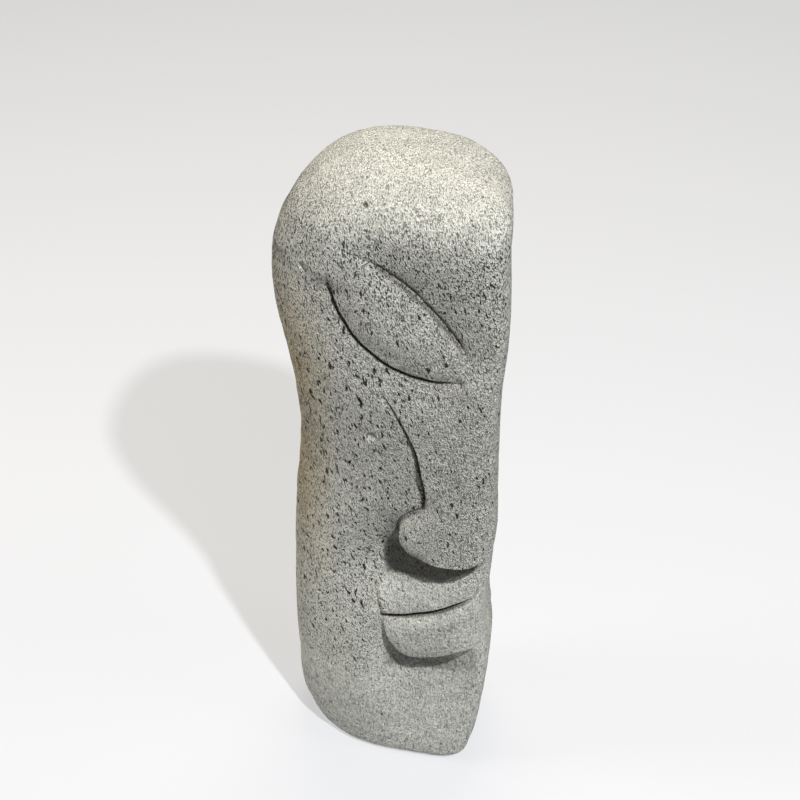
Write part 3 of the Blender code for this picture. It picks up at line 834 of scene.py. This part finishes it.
def stone_colour(graph, place, spot, grain, crevices, deep, worked):
    """The body with pale grains and tool streaks, browner on the temple side, with painted shade in
    crevices, pits and creases and painted shadow under the nose and lips.
    """
    side, depth, level = spot
    base = body_colour(graph, place, side, level)
    light = graph.product(graph.ramp(grain, *GRAIN_RIM), GRAIN_STRENGTH)
    base = graph.blend(light, base, GRAIN_STONE)
    streaks = graph.noise(graph.stretched(place, 0.0, STREAK_STRETCH), *STREAK_NOISE)
    dark = graph.product(graph.ramp(streaks, *STREAK_RIM), worked, STREAK_STRENGTH)
    base = graph.blend(dark, base, STREAK_STONE_AND_CREVICE_SHADE)
    base = browned_and_shadowed(graph, base, place, side, depth, level)

    # Painted shade: on the brow, where light grazes the stone, the crevices are coloured darker still
    brow_shade = graph.product(graph.ramp(level, *BROW_LEVEL), BROW_SHADE_GAIN)
    darkness = graph.math("ADD", brow_shade, CREVICE_SHADE_STRENGTH)
    # Painted shade: crevices and pits are coloured darker as the shade inside them; the tool streaks above
    # share this dark colour
    colour = graph.blend(graph.product(crevices, darkness), base, STREAK_STONE_AND_CREVICE_SHADE)
    colour = graph.blend(graph.product(deep, PIT_SHADE_STRENGTH), colour, PIT_SHADE_STONE)
    # Painted shade: creases and nooks that see little open sky are coloured darker
    inputs = {"Distance": CREASE_SHADE_REACH}
    crease_shade = graph.node("ShaderNodeAmbientOcclusion", inputs, samples=CREASE_SHADE_SAMPLES, only_local=True)
    crease_shade = graph.ramp(crease_shade.outputs["AO"], *CREASE_SHADE_RIM)
    return graph.blend(graph.product(crease_shade, CREASE_SHADE_STRENGTH), colour, CREASE_SHADE_STONE)


def worked_stone(graph, side, depth, level):
    """1 where the stone was worked smoother, around the mouth and all along the foot."""
    worked = graph.product(graph.ramp(level, *WORKED_TOP), graph.ramp(side, *WORKED_SIDE))
    worked = graph.product(worked, graph.ramp(depth, *WORKED_DEPTH))
    return graph.math("MAXIMUM", worked, graph.ramp(level, *WORKED_FOOT))


def fine_relief(graph, place, grain, crevices, deep, rough):
    """Normal of the finest relief: grains stand out, crevices and pits sink, the whole swells a little."""
    rise = graph.product(grain, GRAIN_RISE, rough)
    rise = graph.math("SUBTRACT", rise, graph.product(crevices, CREVICE_FALL))
    rise = graph.math("SUBTRACT", rise, graph.product(deep, PIT_FALL))
    rise = graph.math("ADD", rise, graph.product(graph.noise(place, *SWELL_NOISE), SWELL_RISE))
    inputs = {"Strength": 1.0, "Distance": FINE_RELIEF, "Height": rise}
    return graph.node("ShaderNodeBump", inputs).outputs[0]


def stone_material(middle_x):
    """Porous volcanic stone. The chips' places are given before the block is moved by middle_x."""
    graph = Graph("volcanic_stone")
    place = graph.node("ShaderNodeTexCoord").outputs["Object"]
    side, depth, level = graph.node("ShaderNodeSeparateXYZ", {0: place}).outputs
    worked = worked_stone(graph, side, depth, level)
    crown = graph.product(graph.ramp(level, *CROWN_LEVEL), CROWN_CALM)
    calm = graph.math("MAXIMUM", graph.product(worked, WORKED_CALM), crown)
    chips = chipped(graph, middle_x, side, depth, level)
    rough = graph.math("SUBTRACT", 1.0, calm)
    rough = graph.product(rough, graph.math("SUBTRACT", 1.0, graph.product(chips, CHIP_CALM)))

    crevices, deep = pit_layers(graph, place, side, level)
    crevices = graph.product(crevices, rough)
    deep = graph.product(deep, rough)
    grain = graph.noise(graph.stretched(place, CREVICE_LEAN, GRAIN_STRETCH), *GRAIN_NOISE)
    colour = stone_colour(graph, place, (side, depth, level), grain, crevices, deep, worked)
    colour = graph.blend(graph.product(chips, CHIP_STRENGTH), colour, FRESH_STONE)
    graph.put(colour, graph.shader.inputs["Base Color"])
    graph.put(fine_relief(graph, place, grain, crevices, deep, rough), graph.shader.inputs["Normal"])
    graph.shader.inputs["Roughness"].default_value = STONE_ROUGHNESS
    graph.shader.inputs["Specular IOR Level"].default_value = STONE_SPECULAR
    return graph.material


def floor_material():
    graph = Graph("pale_floor")
    place = graph.node("ShaderNodeTexCoord").outputs["Object"]
    colour = graph.blend(graph.noise(place, *FLOOR_NOISE), FLOOR_DARK, FLOOR_LIGHT)
    graph.put(colour, graph.shader.inputs["Base Color"])
    graph.shader.inputs["Roughness"].default_value = 1.0
    graph.shader.inputs["Specular IOR Level"].default_value = 0.0
    graph.shader.inputs["Emission Color"].default_value = (1.0, 1.0, 1.0, 1.0)
    graph.shader.inputs["Emission Strength"].default_value = FLOOR_GLOW
    return graph.material


def make_floor():
    far = FLOOR_REACH
    corners = [(-far, -far, 0.0), (far, -far, 0.0), (far, far, 0.0), (-far, far, 0.0)]
    mesh = bpy.data.meshes.new("floor")
    mesh.from_pydata(corners, [], [(0, 1, 2, 3)])
    floor = bpy.data.objects.new("floor", mesh)
    floor.data.materials.append(floor_material())
    bpy.context.collection.objects.link(floor)


def soft_light(name, place, aim, size, power, colour):
    """A round area light that points from its place at its aim."""
    light = bpy.data.lights.new(name, "AREA")
    light.shape = "DISK"
    light.size = size
    light.energy = power
    light.color = colour
    lamp = bpy.data.objects.new(name, light)
    lamp.location = place
    direction = np.array(aim) - np.array(place)
    flat = math.hypot(direction[0], direction[1])
    lamp.rotation_euler = (math.atan2(flat, -direction[2]), 0.0, math.atan2(-direction[0], direction[1]))
    bpy.context.collection.objects.link(lamp)


def make_lights():
    for light in LIGHTS:
        soft_light(*light)
    world = bpy.data.worlds.new("studio")
    world.use_nodes = True
    background = world.node_tree.nodes["Background"]
    background.inputs[0].default_value = ROOM_COLOUR
    background.inputs[1].default_value = ROOM_STRENGTH
    bpy.context.scene.world = world


def make_camera(centre):
    """The camera, moved with the block, whose middle was put at the origin."""
    camera = bpy.data.cameras.new("camera")
    camera.lens = CAMERA_LENS
    eye = bpy.data.objects.new("camera", camera)
    x, y, z = CAMERA_PLACE
    eye.location = (x - centre[0], y - centre[1], z)
    eye.rotation_euler = (CAMERA_TILT, 0.0, CAMERA_TURN)
    bpy.context.collection.objects.link(eye)
    bpy.context.scene.camera = eye


centre = make_stone()
make_floor()
make_lights()
make_camera(centre)
bpy.context.scene.view_settings.view_transform = "Standard"
